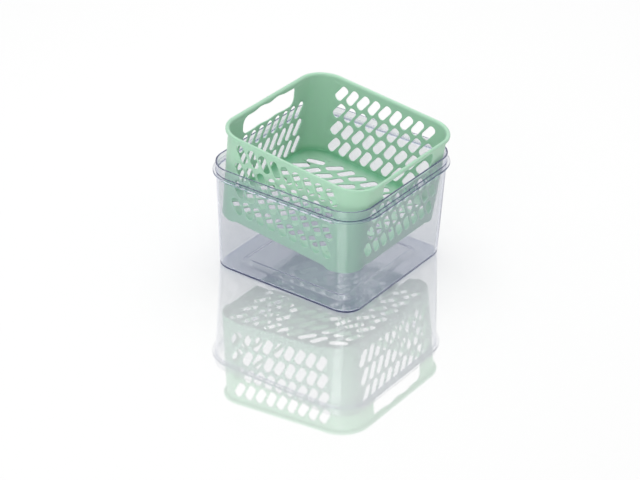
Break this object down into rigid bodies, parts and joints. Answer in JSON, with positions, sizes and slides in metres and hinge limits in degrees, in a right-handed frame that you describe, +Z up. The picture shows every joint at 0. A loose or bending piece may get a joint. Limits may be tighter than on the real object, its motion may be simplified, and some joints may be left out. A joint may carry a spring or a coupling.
{
  "type": "food storage container",
  "caption": "Clear square food keeper with round corners and a ledge below the rim, holding a slotted drain basket with hand holes that lifts out of it.",
  "frame": {"origin": "middle of the container's foot ring, on the surface it stands on", "axes": "+Z up; X runs between the two walls of the basket that have hand holes, and the basket is tilted down towards +X"},
  "size_m": [0.1686, 0.1686, 0.1383],
  "materials": {
    "clear_plastic": "clear, polished, faintly blue-grey",
    "green_plastic": "satin mint green"
  },
  "bodies": {
    "container": {"container": "clear_plastic"},
    "basket": {"basket": "green_plastic"}
  },
  "joints": [
    {"name": "basket_lift", "type": "slide", "parent": "container", "child": "basket", "axis": [0, 0, 1], "range_m": [0, 0.08]}
  ]
}
